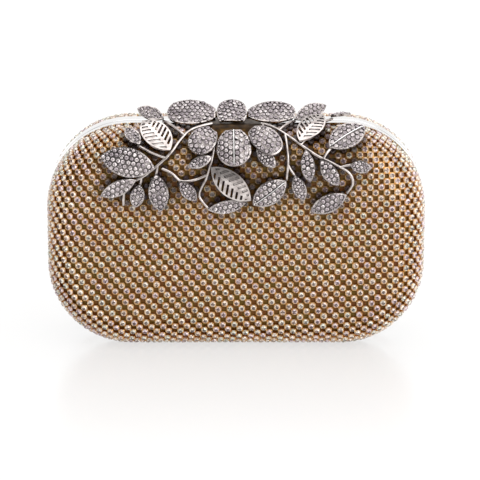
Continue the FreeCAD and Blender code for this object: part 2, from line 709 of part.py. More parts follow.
def leaf_outline(length, width, inset, before_share, after_share, tip_share):
    """An upright prism with a leaf's outline: two arcs, and a cut base and a round tip for a petal."""
    chord = "%s * %s" % (length, 1 + before_share + after_share)
    radius = "((%s) ^ 2 + (%s) ^ 2) / (4 * (%s))" % (chord, width, width)
    middle = "%s * %s" % (length, (1 + after_share - before_share) / 2)
    shapes = [rod("LeafSide", "%s - %s" % (radius, inset), "Sizes.outline_prism", middle,
                  "%s(%s - (%s) / 2)" % (way, radius, width), "-Sizes.outline_prism / 2") for way in "-+"]
    if tip_share:
        tip = "(%s) * %s" % (width, tip_share)
        heart = "%s - %s" % (length, tip)
        sides = ("-(%s)" % width, width)
        tall = ("-Sizes.outline_prism / 2", "Sizes.outline_prism / 2")
        lobe = rod("PetalTip", "%s - %s" % (tip, inset), "Sizes.outline_prism", heart, "0", tall[0])
        shapes.append(fuse([box((inset, heart), sides, tall, "PetalBody"), lobe]))
        shapes.append(box((inset, length), sides, tall, "PetalRoom"))
    return common(shapes, "LeafOutline")


def leaf_solid(length, width_share, dome_share, before_share=0, after_share=0, tip_share=0):
    """A domed blade and the shell radii that its pavement or ribs are cut with."""
    width = "%s * %s" % (length, width_share)
    span = "(%s * %s)" % (length, math.hypot(1, width_share) if width_share > 1 else 1)
    rise = "%s * %s" % (span, dome_share)
    inner = "(%s ^ 2 / 4 + (%s) ^ 2) / (2 * %s)" % (span, rise, rise)
    centre = ("%s / 2" % length, "-(%s) + %s" % (inner, rise))
    outer = "%s + Sizes.leaf_thick" % inner
    shape = leaf_outline(length, width, "0", before_share, after_share, tip_share)
    blade = cut(common([shape, ball(outer, *centre)]), ball(inner, *centre), "Blade")
    return blade, outer, centre


def pave_leaf(label, placement, length, width_share, dome_share, before_share=0, after_share=0, tip_share=0):
    """A leaf or petal with a sunken bed for stones inside a narrow rim."""
    ends = (before_share, after_share, tip_share)
    blade, outer, centre = leaf_solid(length, width_share, dome_share, *ends)
    bed = leaf_outline(length, "%s * %s" % (length, width_share), "Sizes.leaf_rim", *ends)
    above = cut(bed, ball("%s - Sizes.tray_depth" % outer, *centre), "Bed")
    seat_leaf(cut(blade, above), label, placement)


RIB_SLANT = 60
RIB_COSINE = 0.5


def rib_gaps(length, width_share, way):
    """A row of slanted slots on one side of the midrib."""
    count = int(size("leaf_length") / size("slot_pitch"))
    slots = []
    for number in range(1, count):
        slot = doc.addObject("Part::Box", "Slot")
        slot.Placement = Placement(Vector(), Rotation(UP, RIB_SLANT if way == "+" else -RIB_SLANT))
        edge = "Sizes.midrib_width / 2"
        if way == "-":
            edge = "-Sizes.midrib_width / 2 - Sizes.slot_width * %s" % RIB_COSINE
        bind(slot, Length="%s * %s" % (length, width_share), Width="Sizes.slot_width",
             Height="Sizes.outline_prism", Px="%s * %s" % (length, number / count), Py=edge,
             Pz="-Sizes.outline_prism / 2")
        slots.append(slot)
    inside = leaf_outline(length, "%s * %s" % (length, width_share), "Sizes.leaf_rim", 0, 0, 0)
    return common([fuse(slots), inside])


def ribbed_leaf(label, placement, length, width_share, dome_share, open_side):
    """A leaf with slots right through one half and grooves in the other, on either side of its midrib."""
    blade, outer, centre = leaf_solid(length, width_share, dome_share)
    shut_side = {"+": "-", "-": "+"}[open_side]
    grooves = cut(rib_gaps(length, width_share, shut_side), ball("%s - Sizes.tray_depth" % outer, *centre))
    seat_leaf(cut(cut(blade, rib_gaps(length, width_share, open_side)), grooves), label, placement)


def seat_leaf(feature, label, placement):
    """Name a finished leaf and set it in its place."""
    feature.Label = label
    feature.Placement = placement
    pieces.append(feature)


def spray_placement(x_share, drop_share, turn, length, base_rise, tip_rise, roll=0):
    """Where a leaf of the spray lies: base and tip stand above the stems and its face looks outwards."""
    x = x_share * size("spray_reach")
    drop = drop_share * size("spray_drop")
    across = length * math.cos(math.radians(turn))
    down = length * math.sin(math.radians(turn))
    base, _ = over_mesh(x, drop, place("leaf_lift") + base_rise)
    tip, _ = over_mesh(x + across, drop + down, place("leaf_lift") + tip_rise)
    _, out = over_mesh(x, drop + down / 2, place("leaf_lift"))
    along = (tip - base).normalize()
    face = Rotation(along, roll).multVec((out - along * out.dot(along)).normalize())
    return Placement(base, Rotation(along, face.cross(along), face, "XZY"))


# Stems, as places along their length: shares of the spray's reach and of its drop from the seam
LEFT_STEM_SHARES = [
    [(-0.17, 0.25), (-0.32, 0.34), (-0.46, 0.53), (-0.55, 0.62), (-0.65, 0.71), (-0.74, 0.77), (-0.79, 0.84),
     (-0.80, 0.95)],
    [(-0.36, 0.40), (-0.45, 0.29), (-0.52, 0.17)],
    [(-0.50, 0.57), (-0.60, 0.53), (-0.69, 0.48)],
    [(-0.555, 0.625), (-0.56, 0.67), (-0.57, 0.71)],
    [(-0.67, 0.725), (-0.675, 0.76), (-0.685, 0.80)]]
LOWER_STEM_SHARES = [
    [(-0.14, 0.44), (-0.18, 0.62), (-0.21, 0.73), (-0.26, 0.87), (-0.19, 0.99)],
    [(-0.20, 0.70), (-0.30, 0.745), (-0.39, 0.75), (-0.45, 0.69), (-0.52, 0.65)]]
RIGHT_STEM_SHARES = [
    [(0.18, 0.25), (0.25, 0.29), (0.35, 0.38), (0.46, 0.47), (0.57, 0.55), (0.69, 0.61), (0.80, 0.68),
     (0.83, 0.77), (0.79, 0.85)],
    [(0.35, 0.38), (0.37, 0.59), (0.36, 0.74)],
    [(0.31, 0.34), (0.37, 0.25), (0.42, 0.18)],
    [(0.195, 0.26), (0.18, 0.38), (0.15, 0.52)],
    [(0.37, 0.62), (0.39, 0.66), (0.42, 0.71)],
    [(0.62, 0.575), (0.64, 0.54), (0.67, 0.50)],
    [(0.74, 0.64), (0.78, 0.625), (0.82, 0.62)],
    [(0.46, 0.47), (0.56, 0.33), (0.64, 0.18), (0.69, 0.11)]]

# Leaves of the spray: base place as shares, turn in degrees from +X towards the floor, length as a share of
# leaf_length, width as a share of the length, and how far base and tip stand up as shares of leaf_step
PAVE_LEAF_SHARES = {
    "left_large_leaf": (-0.575, 0.64, 191, 1.30, 0.53, 0.0, 0.3),
    "left_low_leaf": (-0.71, 0.735, 155, 0.92, 0.39, 0.0, 0.2),
    "left_bud_leaf": (-0.68, 0.775, 103, 0.57, 0.58, 0.0, 0.2),
    "left_inner_leaf": (-0.565, 0.69, 83, 0.90, 0.52, 0.0, 0.3),
    "left_upper_leaf": (-0.68, 0.48, 230, 0.58, 0.55, 0.0, 0.0),
    "left_side_leaf": (-0.17, 0.56, 160, 0.62, 0.43, 0.0, 0.2),
    "left_star_leaf": (-0.395, 0.755, 49, 0.58, 0.56, 0.0, 0.2),
    "lower_leaf": (-0.20, 0.985, -11, 0.91, 0.34, 0.0, 0.2),
    "under_petal_leaf": (0.15, 0.50, 43, 0.62, 0.53, 0.0, 0.2),
    "right_low_leaf": (0.355, 0.745, 144, 0.96, 0.57, 0.0, 0.3),
    "right_upper_leaf": (0.495, 0.51, 82, 0.78, 0.42, 0.0, 0.3),
    "right_middle_leaf": (0.415, 0.70, 69, 0.64, 0.50, 0.0, 0.2),
    "right_star_leaf": (0.60, 0.58, 54, 0.75, 0.46, 0.0, 0.2),
    "right_bottom_leaf": (0.785, 0.86, 155, 0.94, 0.46, 0.0, 0.2),
    "right_large_leaf": (0.66, 0.50, -29, 1.01, 0.64, 0.0, 0.4),
    "right_side_leaf": (0.81, 0.615, 8, 0.50, 0.60, 0.0, 0.2),
    "right_tip_leaf": (0.68, 0.11, -2, 0.48, 0.50, 0.0, 0.4),
}
RIBBED_LEAF_SHARES = {
    "left_ribbed_leaf": (-0.465, 0.52, 225, 1.04, 0.62, 0.1, 1.0, "-"),
    "lower_ribbed_leaf": (-0.175, 0.63, 40, 1.22, 0.48, 0.1, 0.9, "-"),
    "right_ribbed_leaf": (0.45, 0.455, -48, 0.98, 0.60, 0.1, 1.7, "+"),
}
# Leaves above the seam stand up on their stems and face the front
UPRIGHT_LEAF_SHARES = {
    "top_left_leaf": (-0.515, 0.165, 199, 0.70, 0.48, 0.0, 1.6, -50),
    "top_right_leaf": (0.415, 0.19, -28, 0.90, 0.42, 0.0, 2.0, 50),
}
FRONT_PETAL_SHARES = {
    "front_left_petal": (-0.165, 0.37, 134, 0.75, 0.83, 0.4, 0.9),
    "front_middle_petal": (-0.02, 0.38, 87, 0.88, 0.92, 0.8, 1.3),
    "front_right_petal": (0.11, 0.36, 38, 0.90, 0.68, 0.2, 0.8),
}
LEAF_DOME_SHARE = 0.08
FRONT_PETAL_DOME_SHARE = 0.16
TOP_PETAL_DOME_SHARE = 0.05
PETAL_BEFORE_SHARE = 0.10
PETAL_AFTER_SHARE = 0.15
PETAL_TIP_SHARE = 0.50

# Petals on the lever's carrier: base as shares of its width and of its lower reach, turn in degrees from +X
# up the carrier, length as a share of leaf_length, width as a share of the length, start before the base
TOP_PETAL_SHARES = {
    "top_left_petal": (-0.374, -0.875, 178, 1.14, 0.72, 0.10),
    "top_middle_petal": (-0.075, -1.42, 90, 0.73, 0.99, 0.35),
    "top_right_petal": (0.224, -0.87, 2, 1.12, 0.63, 0.10),
}


def spray():
    """Every leaf and petal of the front half."""
    reach = size("leaf_length")
    step = size("leaf_step")
    for label, (x, drop, turn, length, width, base, tip) in PAVE_LEAF_SHARES.items():
        where = spray_placement(x, drop, turn, length * reach, base * step, tip * step)
        pave_leaf(label, where, "Sizes.leaf_length * %s" % length, width, LEAF_DOME_SHARE)
    for label, (x, drop, turn, length, width, base, tip, open_side) in RIBBED_LEAF_SHARES.items():
        where = spray_placement(x, drop, turn, length * reach, base * step, tip * step)
        ribbed_leaf(label, where, "Sizes.leaf_length * %s" % length, width, LEAF_DOME_SHARE, open_side)
    for label, (x, drop, turn, length, width, base, tip, roll) in UPRIGHT_LEAF_SHARES.items():
        where = spray_placement(x, drop, turn, length * reach, base * step, tip * step, roll)
        pave_leaf(label, where, "Sizes.leaf_length * %s" % length, width, LEAF_DOME_SHARE)
    for label, (x, drop, turn, length, width, base, tip) in FRONT_PETAL_SHARES.items():
        where = spray_placement(x, drop, turn, length * reach, base * step, tip * step)
        pave_leaf(label, where, "Sizes.leaf_length * %s" % length, width, FRONT_PETAL_DOME_SHARE,
                  PETAL_BEFORE_SHARE, PETAL_AFTER_SHARE, PETAL_TIP_SHARE)


def top_petals():
    """The petals on the clasp's lever, which lean back with its carrier."""
    lean = math.radians(size("carrier_lean"))
    up_slope = Vector(0, math.cos(lean), math.sin(lean))
    face = Vector(0, -math.sin(lean), math.cos(lean))
    axis = Vector(0, size("screw_setback") + size("seam_setback"), place("clasp_axis_up"))
    seat = axis + face * (size("carrier_stand") + size("leaf_gap"))
    for label, (x, up, turn, length, width, before) in TOP_PETAL_SHARES.items():
        angle = math.radians(turn)
        along = ALONG * math.cos(angle) + up_slope * math.sin(angle)
        base = seat + ALONG * (x * size("carrier_width")) + up_slope * (up * size("carrier_down"))
        where = Placement(base, Rotation(along, face.cross(along), face, "XZY"))
        pave_leaf(label, where, "Sizes.leaf_length * %s" % length, width, TOP_PETAL_DOME_SHARE, before,
                  PETAL_AFTER_SHARE, PETAL_TIP_SHARE)


for half, is_rear in (("front", False), ("rear", True)):
    half_layer(half + "_shell", is_rear, "shell_inset", "Sizes.shell_thick", "Derived.shell_start")
    half_layer(half + "_satin_cover", is_rear, "satin_inset", "Sizes.satin_thick", "Derived.shell_start")
    half_layer(half + "_lining", is_rear, "lining_inset", "Sizes.lining_thick", "Derived.mesh_start")
    frame(half + "_frame", is_rear)
crystal_meshes()
slip_pocket()
hinges()
clasp_bracket()
clasp_lever()
clasp_spring()
top_petals()
ornament_plate()
stem("left_stem", LEFT_STEM_SHARES)
stem("lower_stem", LOWER_STEM_SHARES)
stem("right_stem", RIGHT_STEM_SHARES)
spray()
doc.recompute()

faults = [feature.Label for feature in doc.Objects if {"Invalid", "Error"} & set(feature.State)]
for piece in pieces:
    if piece.Shape.isNull() or not piece.Shape.isValid() or not piece.Shape.Solids:
        faults.append(piece.Label)
if faults:
    raise RuntimeError("failed: " + ", ".join(faults))
os.makedirs("parts", exist_ok=True)
for piece in pieces:
    piece.Shape.exportStep("parts/%s.step" % piece.Label)
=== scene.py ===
"""Looks of a hard-case evening clutch: a crystal mesh over two hinged halves, closed by a flower clasp.

The sections follow the order in which such a case is put together. Meshes are drawn in millimetres and
scaled to metres as each piece is finished.
"""
import bmesh
import bpy
import json
import math
import numpy as np
import random
from itertools import product
from mathutils import Matrix, Vector
from mathutils.bvhtree import BVHTree

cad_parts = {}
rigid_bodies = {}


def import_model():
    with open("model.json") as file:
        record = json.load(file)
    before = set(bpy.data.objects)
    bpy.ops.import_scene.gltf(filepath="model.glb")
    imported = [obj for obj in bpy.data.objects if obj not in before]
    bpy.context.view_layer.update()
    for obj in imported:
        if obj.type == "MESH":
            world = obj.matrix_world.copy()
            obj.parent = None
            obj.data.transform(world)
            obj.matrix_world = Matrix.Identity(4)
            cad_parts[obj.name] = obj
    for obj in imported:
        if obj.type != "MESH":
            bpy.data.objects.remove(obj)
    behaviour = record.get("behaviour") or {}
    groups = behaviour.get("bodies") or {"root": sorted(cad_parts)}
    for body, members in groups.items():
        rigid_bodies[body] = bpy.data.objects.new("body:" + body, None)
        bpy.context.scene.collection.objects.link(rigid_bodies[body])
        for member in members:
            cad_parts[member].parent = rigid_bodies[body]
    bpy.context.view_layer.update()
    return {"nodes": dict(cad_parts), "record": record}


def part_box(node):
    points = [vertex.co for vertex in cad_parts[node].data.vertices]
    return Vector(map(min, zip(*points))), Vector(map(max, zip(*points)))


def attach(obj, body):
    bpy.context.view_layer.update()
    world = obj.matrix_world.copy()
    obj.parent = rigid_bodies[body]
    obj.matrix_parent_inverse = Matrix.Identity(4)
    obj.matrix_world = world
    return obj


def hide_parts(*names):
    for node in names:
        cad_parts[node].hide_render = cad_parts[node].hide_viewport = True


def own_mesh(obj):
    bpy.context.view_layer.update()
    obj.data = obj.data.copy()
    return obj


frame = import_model()
nodes = frame["nodes"]


# Satin covers: gold satin glued over each stiff half, drawn round its edge and tucked into the frame.
# All that shows of it is a dark square between the cups of the crystal mesh.
halves = (("front", "lid"), ("rear", "rear_half"))
frame_low, frame_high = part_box("front_frame")
case_width = (frame_high.x - frame_low.x) * 1000
case_height = (frame_high.z - frame_low.z) * 1000
seam_gap = 0.15
seam_y = frame_high.y * 1000 + seam_gap
half_depth = 28.0
corner_round = 40.0
edge_round = 16.0
mesh_sink = 0.05
cuts_across = range(-80, 81, 8)
cuts_up = range(10, 106, 8)
satin_inset = 2.35
satin_start = 1.45
satin_thick = 0.4


def linear(code):
    """An sRGB hex colour as linear RGBA."""
    parts = [int(code[start:start + 2], 16) / 255 for start in (1, 3, 5)]
    return [part / 12.92 if part <= 0.04045 else ((part + 0.055) / 1.055) ** 2.4 for part in parts] + [1.0]


def plug(tree, node, inputs):
    """Give each input of a node a value or the output of another node."""
    for name, value in inputs.items():
        if isinstance(value, bpy.types.NodeSocket):
            tree.links.new(value, node.inputs[name])
        else:
            node.inputs[name].default_value = value


def add(tree, kind, inputs, stops=(), **settings):
    """Add one node with its settings, its inputs and, where it has a ramp, the ramp's colours."""
    node = tree.nodes.new(kind)
    for name, value in settings.items():
        setattr(node, name, value)
    plug(tree, node, inputs)
    for number, (position, code) in enumerate(stops):
        elements = node.color_ramp.elements
        element = elements[number] if number < 2 else elements.new(position)
        element.position = position
        element.color = linear(code)
    return node


def start_material(name):
    """A new material, its node tree and the shader that takes its finish."""
    material = bpy.data.materials.new(name)
    material.use_nodes = True
    return material, material.node_tree, material.node_tree.nodes["Principled BSDF"]


def to_mesh(bm, name):
    """A mesh from a bmesh that is done with."""
    mesh = bpy.data.meshes.new(name)
    bm.to_mesh(mesh)
    bm.free()
    return mesh


def extrude(bm, faces, way):
    """Extrude faces by a vector, and return them at their new place."""
    grown = bmesh.ops.extrude_face_region(bm, geom=faces)["geom"]
    bmesh.ops.translate(bm, vec=way, verts=[part for part in grown if isinstance(part, bmesh.types.BMVert)])
    return [part for part in grown if isinstance(part, bmesh.types.BMFace)]


def half_tray(inset, start, wall):
    """A half of the case as an open tray, drawn in by an inset, from a start behind the seam to its face."""
    bm = bmesh.new()
    bmesh.ops.create_grid(bm, x_segments=1, y_segments=1, size=0.5)
    bmesh.ops.scale(bm, vec=(case_width - 2 * inset, case_height - 2 * inset, 1), verts=bm.verts)
    bmesh.ops.rotate(bm, matrix=Matrix.Rotation(math.pi / 2, 3, "X"), verts=bm.verts)
    bmesh.ops.translate(bm, vec=(0, seam_y - start, case_height / 2), verts=bm.verts)
    bmesh.ops.bevel(bm, geom=bm.verts[:], affect="VERTICES", offset=corner_round - inset, segments=20,
                    profile=0.5, material=-1)
    sunk = inset - mesh_sink
    face = extrude(bm, bm.faces[:], (0, start - half_depth + sunk, 0))[0]
    bmesh.ops.bevel(bm, geom=face.edges[:], affect="EDGES", offset=edge_round - sunk, segments=10,
                    profile=0.5, material=-1)
    mouth = [part for part in bm.faces if all(vert.co.y > seam_y - start - 0.01 for vert in part.verts)]
    bmesh.ops.delete(bm, geom=mouth, context="FACES")
    planes = [((step, 0, 0), (1, 0, 0)) for step in cuts_across]
    planes += [((0, 0, step), (0, 0, 1)) for step in cuts_up]
    for spot, way in planes:
        parts = bm.verts[:] + bm.edges[:] + bm.faces[:]
        bmesh.ops.bisect_plane(bm, geom=parts, plane_co=spot, plane_no=way)
    bmesh.ops.recalc_face_normals(bm, faces=bm.faces)
    if sum(part.normal.y * part.calc_area() for part in bm.faces) > 0:
        bmesh.ops.reverse_faces(bm, faces=bm.faces)
    bmesh.ops.solidify(bm, geom=bm.faces[:], thickness=wall)
    return bm


def add_piece(name, bm, material, body, rear=False, smooth=False):
    """Finish a piece: turn it to the rear half if it belongs there, scale it to metres and let it ride."""
    if rear:
        bmesh.ops.rotate(bm, cent=(0, seam_y, 0), matrix=Matrix.Rotation(math.pi, 3, "Z"), verts=bm.verts)
    bmesh.ops.scale(bm, vec=(0.001, 0.001, 0.001), verts=bm.verts)
    for face in bm.faces:
        face.smooth = smooth
    mesh = to_mesh(bm, name)
    piece = bpy.data.objects.new(name, mesh)
    bpy.context.scene.collection.objects.link(piece)
    mesh.materials.append(material)
    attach(piece, body)
    return piece


# Gold satin: a dense silk-like weave, dark where the cups shade it, with patches of red and olive painted in
# as reflections of the gilt around it. The threads are finer than the render shows, so they are drawn 2.5 mm
# apart: a wave turns 20 radians in a unit, so a thread is two pi times the step that is given.
reflection_patch_size = 3.2
satin_step = 0.4
wave_radians = 20
gold_satin, tree, surface = start_material("gold_satin")
place = add(tree, "ShaderNodeTexCoord", {}).outputs["Object"]
# Painted reflection: each patch of the satin takes a red, brown or olive tone for light thrown back by the
# gilt.
reflection_patches = add(tree, "ShaderNodeTexVoronoi", {"Vector": place, "Scale": 1000 / reflection_patch_size})
tones = add(tree, "ShaderNodeValToRGB", {"Fac": reflection_patches.outputs["Color"]},
            stops=((0.1, "#6C540E"), (0.45, "#704C10"), (0.9, "#764211")))
threads = add(tree, "ShaderNodeTexWave",
              {"Vector": place, "Scale": 1000 / (satin_step * wave_radians), "Distortion": 0.5})
ridges = add(tree, "ShaderNodeBump",
             {"Height": threads.outputs["Fac"], "Strength": 0.25, "Distance": 0.0001})
plug(tree, surface, {"Base Color": tones.outputs["Color"], "Normal": ridges.outputs["Normal"],
                     "Roughness": 0.5, "Specular IOR Level": 0.25})

for half, body in halves:
    cover = add_piece(half + "_satin", half_tray(satin_inset, satin_start, satin_thick), gold_satin, body,
                      rear=half == "rear", smooth=True)
    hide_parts(half + "_satin_cover")


# Crystal mesh: square gilt brass cups, linked corner to corner into a net that is glued down over the satin.
# Each cup grips a round foiled glass stone with four prongs. The net leans a little, as it was laid by hand.
mesh_thick = 2.2
mesh_pitch = 5.43
net_rows = range(-32, 33)
net_columns = range(-26, 27)
net_slant = 0.088
net_fan = 0.001
net_turn = math.radians(2.4)
frame_edge = 6.6
cup_side = 3.0
cup_corner = 0.45
cup_height = 1.15
cup_wall = 0.26
prong_height = 0.55
prong_taper = 0.7
prong_lean = 0.22
stone_radius = 1.46
stone_rise = 1.1
stone_tilt = 0.07


def mesh_cup():
    """One cup, with the top of its stone at the origin; open says how much light reaches it, for the painted
    shade of its colour.
    """
    bm = bmesh.new()
    bm.faces.layers.float.new("open")
    bmesh.ops.create_grid(bm, x_segments=1, y_segments=1, size=cup_side / 2)
    bmesh.ops.translate(bm, vec=(0, 0, -mesh_thick), verts=bm.verts)
    bmesh.ops.bevel(bm, geom=bm.verts[:], affect="VERTICES", offset=cup_corner, segments=1, profile=0.5,
                    material=-1)
    top = extrude(bm, bm.faces[:], (0, 0, cup_height))
    rim = bmesh.ops.inset_region(bm, faces=top, thickness=cup_wall)["faces"]
    corners = [part for part in rim
               if abs(abs(part.calc_center_median().x) - abs(part.calc_center_median().y)) < 0.1]
    for prong in bmesh.ops.extrude_discrete_faces(bm, faces=corners)["faces"]:
        middle = prong.calc_center_median()
        lean = (-prong_lean * middle.x, -prong_lean * middle.y, prong_height)
        bmesh.ops.scale(bm, vec=(prong_taper, prong_taper, 1), space=Matrix.Translation(-middle),
                        verts=prong.verts)
        bmesh.ops.translate(bm, vec=lean, verts=prong.verts)
    bmesh.ops.recalc_face_normals(bm, faces=bm.faces)
    return to_mesh(bm, "cup")


def order_on_stone(face):
    """A number that runs from the foot of a stone to its table, and round it at each level."""
    middle = face.calc_center_median()
    return 1000 * middle.z + math.atan2(middle.y, middle.x)


def faceted_stone(radius, rise, crown, table_cuts):
    """One round stone with its table at the origin; each face carries the painted brightness of its cut,
    standing in for what it reflects, and its own tint for the hue.

    Each step of the crown is its radius and its height as shares, and the painted brightness of its cuts by
    turns. An extrusion gives its faces in no fixed order, so they are sorted to come out the same in every
    run.
    """
    bm = bmesh.new()
    painted_cut_light = bm.faces.layers.float.new("painted_cut_light")
    bm.faces.layers.float.new("tint")
    bmesh.ops.create_circle(bm, cap_ends=True, segments=8, radius=radius)
    bmesh.ops.translate(bm, vec=(0, 0, -rise), verts=bm.verts)
    bm.faces.ensure_lookup_table()
    table = bm.faces[0]
    for width, painted_glow, cuts in crown:
        table = extrude(bm, [table], (0, 0, painted_glow * rise))[0]
        shrink = width * radius / table.verts[0].co.xy.length
        bmesh.ops.scale(bm, vec=(shrink, shrink, 1), space=Matrix.Translation(-table.calc_center_median()),
                        verts=table.verts)
        for number, edge in enumerate(table.edges):
            for side in edge.link_faces:
                if side is not table:
                    side[painted_cut_light] = cuts[number % 2]
    for number, part in enumerate(bmesh.ops.poke(bm, faces=[table])["faces"]):
        part[painted_cut_light] = table_cuts[number % 2]
    bmesh.ops.recalc_face_normals(bm, faces=bm.faces)
    bm.faces.sort(key=order_on_stone)
    return to_mesh(bm, "stone")


def on_half(u, v):
    """Where a point of the flat net lands on a half, and its outward direction there."""
    inner_x = min(max(u, corner_round - case_width / 2), case_width / 2 - corner_round)
    inner_z = min(max(v, corner_round - case_height / 2), case_height / 2 - corner_round)
    away = Vector((u - inner_x, 0, v - inner_z))
    past = away.length - (corner_round - edge_round - mesh_sink)
    if past <= 0:
        return Vector((u, -half_depth, v)), Vector((0, -1, 0))
    away.normalize()
    bend = min(past / edge_round, math.pi / 2)
    over = max(past - edge_round * math.pi / 2, 0)
    reach = corner_round - edge_round - mesh_sink + edge_round * math.sin(bend)
    spot = Vector((inner_x, edge_round - half_depth - edge_round * math.cos(bend) + over, inner_z))
    return spot + away * reach, away * math.sin(bend) - Vector((0, math.cos(bend), 0))


def net_places():
    """The place of every cup on the front half, up to the edge of the frame."""
    places = []
    for row, column in product(net_rows, net_columns):
        across = (column + row % 2 / 2) * mesh_pitch
        up = row * mesh_pitch / 2
        u = across + (net_slant - net_fan * across) * up
        v = up + across * math.tan(net_turn)
        spot, out = on_half(u, v)
        if spot.y > -frame_edge - cup_side / 2:
            continue
        along = on_half(u + 0.5, v)[0] - on_half(u - 0.5, v)[0]
        along = (along - out * along.dot(out)).normalized()
        turn = Matrix((along, out.cross(along), out)).transposed().to_4x4()
        places.append(Matrix.Translation(spot + Vector((0, seam_y, case_height / 2))) @ turn)
    return places


# What stands over the net: from each cup rays go out in three rings, and those that meet a leaf, a petal or
# a stem darken its colour, a painted shade for the little light that falls on the net under the spray.
bm = bmesh.new()
for name, node in nodes.items():
    if name.endswith(("_leaf", "_petal", "_stem")):
        bm.from_mesh(node.data)
bmesh.ops.scale(bm, vec=(1000, 1000, 1000), verts=bm.verts)
spray = BVHTree.FromBMesh(bm)
bm.free()
ray_leans = (0.3, 0.7, 1.0)
ray_turns = 8
ray_start = 0.3
ray_reach = 16.0
shade_strength = 1.7
least_light = 0.1


def open_sky(place):
    """How much light reaches a place of the net past the leaves, petals and stems above it, painted into its
    colour as shade.
    """
    blocked = 0
    for lean, step in product(ray_leans, range(ray_turns)):
        turn = step * 2 * math.pi / ray_turns
        way = Vector((math.sin(lean) * math.cos(turn), math.sin(lean) * math.sin(turn), math.cos(lean)))
        way.rotate(place)
        blocked += spray.ray_cast(place.translation + ray_start * way, way, ray_reach)[0] is not None
    return max(least_light, 1 - shade_strength * blocked / (len(ray_leans) * ray_turns))


# Painted glints: each cut's painted brightness is scaled by chance between these two, and now and then a
# flash is added.
dullest_glint = 0.65
brightest_glint = 1.2
flash = 0.5
flash_rarity = 4


def repeat(unit, places, seed, tilt, lights=None):
    """One mesh from many copies of a unit, each turned and tilted a little as a setter leaves it, with the
    painted shade of its place.
    """
    chance = random.Random(seed)
    bm = bmesh.new()
    for place, light in zip(places, lights or [1.0] * len(places)):
        turn = Matrix.Rotation(chance.uniform(0, 2 * math.pi), 4, "Z") if tilt else Matrix()
        lean = Matrix.Rotation(chance.gauss(0, tilt), 4, "X")
        copy = unit.copy()
        copy.transform(place @ turn @ lean)
        # Painted shade: a cup keeps the light of its place, which darkens its colour.
        if "open" in copy.attributes:
            copy.attributes["open"].data.foreach_set("value", [light] * len(copy.polygons))
        # Painted reflection and shade: the stone's cut brightness is varied by chance, given rare flashes and
        # darkened by the light of its place.
        if "tint" in copy.attributes:
            cuts = [0.0] * len(copy.polygons)
            copy.attributes["painted_cut_light"].data.foreach_get("value", cuts)
            cuts = [light * (cut * chance.uniform(dullest_glint, brightest_glint)
                             + flash * chance.random() ** flash_rarity) for cut in cuts]
            copy.attributes["painted_cut_light"].data.foreach_set("value", cuts)
            hue = chance.random()
            copy.attributes["tint"].data.foreach_set("value", [hue] * len(cuts))
        bm.from_mesh(copy)
        bpy.data.meshes.remove(copy)
    return bm


# Gilt brass: stamped cups with a bright flash plating, pale on the edges that catch the light, orange where
# cup faces cup, and painted a dark brown shade where the spray keeps the light off.
gilt_patch = 4.0
gilt_brass, tree, surface = start_material("gilt_brass")
place = add(tree, "ShaderNodeTexCoord", {}).outputs["Object"]
plating = add(tree, "ShaderNodeTexNoise", {"Vector": place, "Scale": 1000 / gilt_patch, "Detail": 4.0})
tones = add(tree, "ShaderNodeValToRGB", {"Fac": plating.outputs["Fac"]},
            stops=((0.3, "#CB9656"), (0.55, "#E0B880"), (0.75, "#F0D5A8")))
dulling = add(tree, "ShaderNodeMapRange",
              {"Value": plating.outputs["Fac"], "To Min": 0.22, "To Max": 0.38})
light = add(tree, "ShaderNodeAttribute", {}, attribute_name="open")
# Painted shade: the colour goes to a dark brown as less light reaches the cup under the spray.
spray_shade = add(tree, "ShaderNodeMix",
          {0: light.outputs["Fac"], 6: linear("#1C0F06"), 7: tones.outputs["Color"]}, data_type="RGBA")
plug(tree, surface, {"Base Color": spray_shade.outputs[2], "Roughness": dulling.outputs["Result"], "Metallic": 1.0})


def cut_glass(name, brightness, hues, roughness, metallic):
    """Clear cut glass over foil, in which each cut has a painted brightness that stands in for what it
    reflects, and each stone its own hue.
    """
    glass, tree, surface = start_material(name)
    painted_cut_light = add(tree, "ShaderNodeAttribute", {}, attribute_name="painted_cut_light")
    tint = add(tree, "ShaderNodeAttribute", {}, attribute_name="tint")
    light = add(tree, "ShaderNodeValToRGB", {"Fac": painted_cut_light.outputs["Fac"]}, stops=brightness)
    tones = add(tree, "ShaderNodeValToRGB", {"Fac": tint.outputs["Fac"]}, stops=hues)
    glint = add(tree, "ShaderNodeMix", {0: 1.0, 6: light.outputs["Color"], 7: tones.outputs["Color"]},
                data_type="RGBA", blend_type="MULTIPLY")
    plug(tree, surface, {"Base Color": glint.outputs[2], "Roughness": roughness, "Metallic": metallic,
                         "IOR": 1.55, "Specular IOR Level": 0.3})
    return glass


# Foiled glass: a clear cut stone over a silver foil. Its cuts are painted as a pale ring round a dark table,
# a painted reflection, and each stone leans a little to lilac, cream or a cool green white.
foiled_glass = cut_glass(
    "foiled_glass", roughness=0.08, metallic=0.25,
    brightness=((0.0, "#2E2629"), (0.35, "#8A7E80"), (0.7, "#E6DEDA"), (1.0, "#FFFFFF")),
    hues=((0.1, "#E8D8DC"), (0.35, "#F3E3D3"), (0.7, "#F8EFE4"), (0.9, "#E6E8DC")))

net = net_places()
# Painted shade under the spray, on the front half only; the rear half is lit evenly.
lights = {"front": [open_sky(place) for place in net], "rear": None}
gilt_cup = mesh_cup()
# Painted reflection: the mesh stones' cuts are a pale ring round a dark table.
mesh_crown = ((0.9, 0.5, (0.95, 0.7)), (0.56, 0.5, (0.6, 1.0)))
mesh_stone = faceted_stone(stone_radius, stone_rise, mesh_crown, (0.04, 0.3))
for half, body in halves:
    cups = add_piece(half + "_mesh_cups", repeat(gilt_cup, net, 5, 0, lights[half]), gilt_brass, body,
                     rear=half == "rear")
    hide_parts(half + "_crystal_mesh")
    add_piece(half + "_mesh_stones", repeat(mesh_stone, net, 11, stone_tilt, lights[half]), foiled_glass,
              body, rear=half == "rear")
